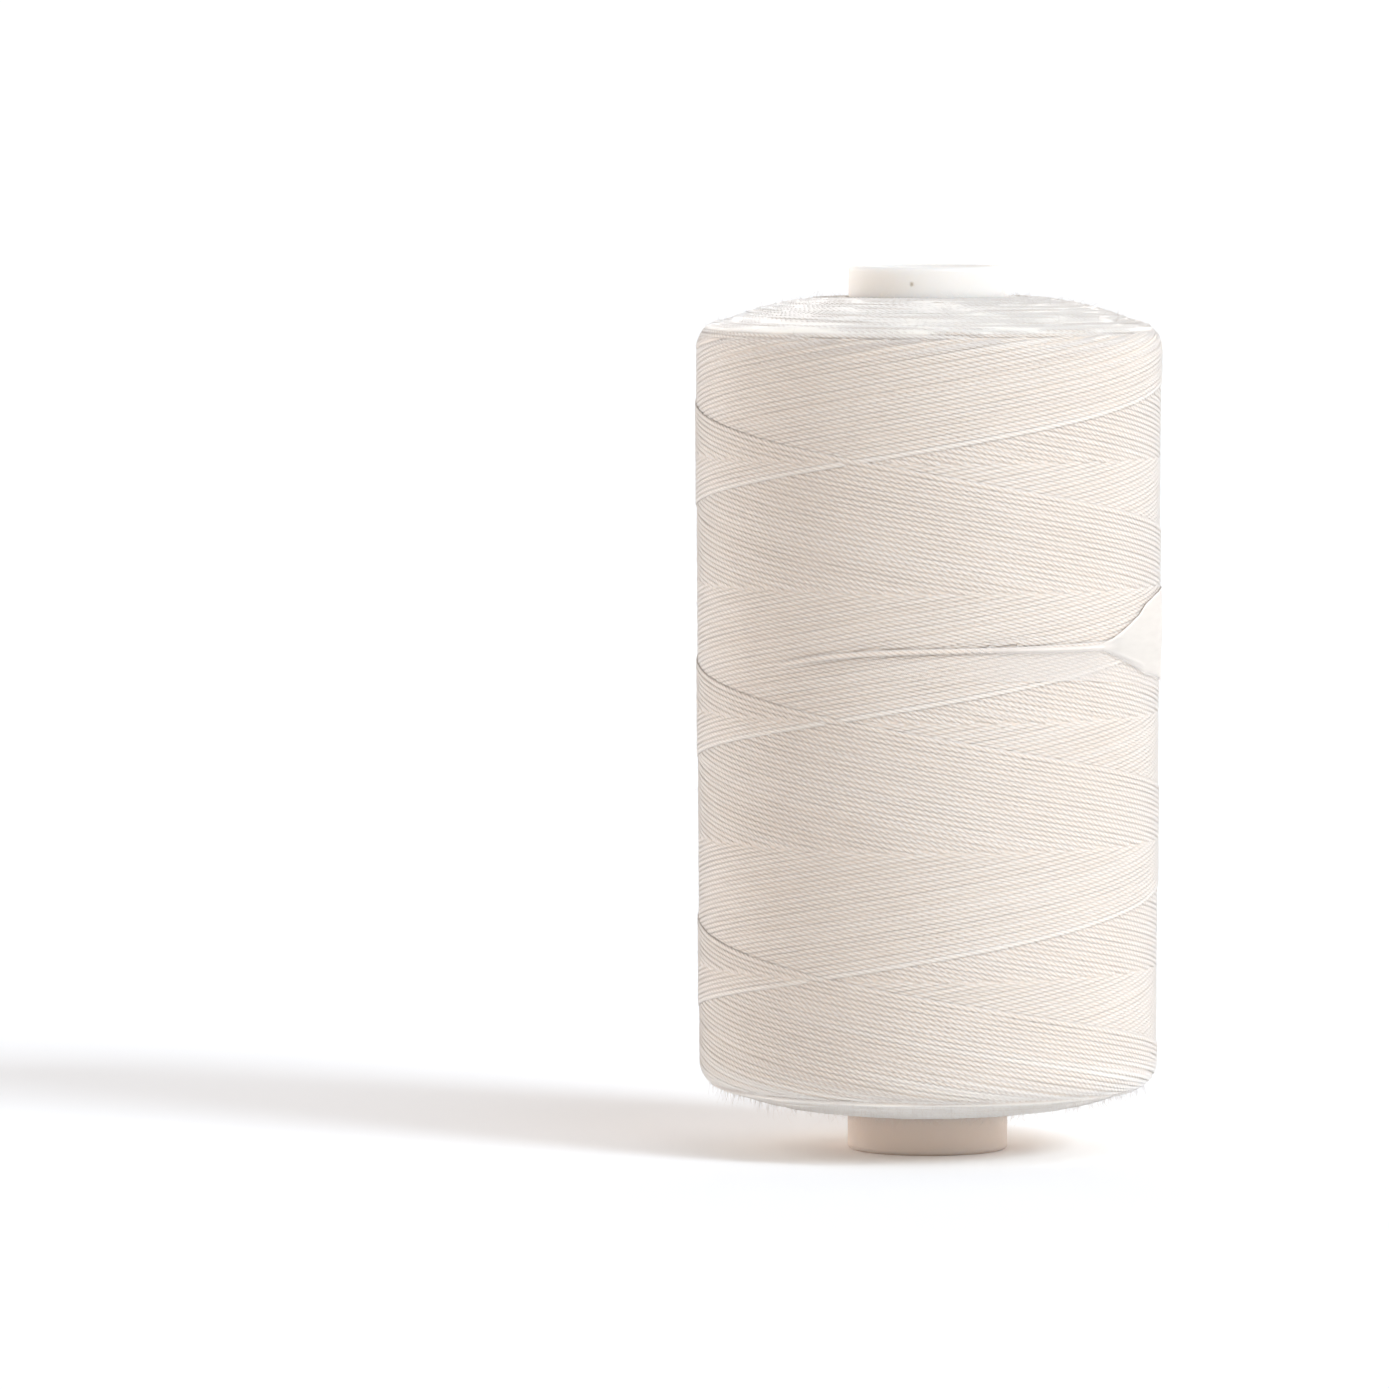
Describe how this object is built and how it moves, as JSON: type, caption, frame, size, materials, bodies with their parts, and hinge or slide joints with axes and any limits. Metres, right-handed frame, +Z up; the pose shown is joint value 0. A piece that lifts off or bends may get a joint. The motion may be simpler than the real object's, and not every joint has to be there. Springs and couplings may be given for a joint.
{
  "type": "waxed thread spool",
  "caption": "Straight plastic tube cross-wound with natural white waxed thread, its end laid over the winding and held by a strip of clear film; a spindle goes through the tube.",
  "frame": {"origin": "middle of the rim that the spool stands on, on the tube's axis", "axes": "+Z up along the tube's axis, -Y is the front where the thread's last lap and the tongue of the film show, +X to the right of the front"},
  "size_m": [0.0502, 0.0502, 0.095],
  "materials": {
    "tube_plastic": "moulded white polypropylene, soft satin, slightly translucent",
    "waxed_thread": "natural white twisted polyester with a soft wax sheen",
    "clear_film": "clear adhesive film, faintly milky, glossy"
  },
  "bodies": {
    "root": {"core_tube": "tube_plastic", "thread_winding": "waxed_thread", "thread_tail": "waxed_thread", "end_film": "clear_film"}
  },
  "joints": []
}
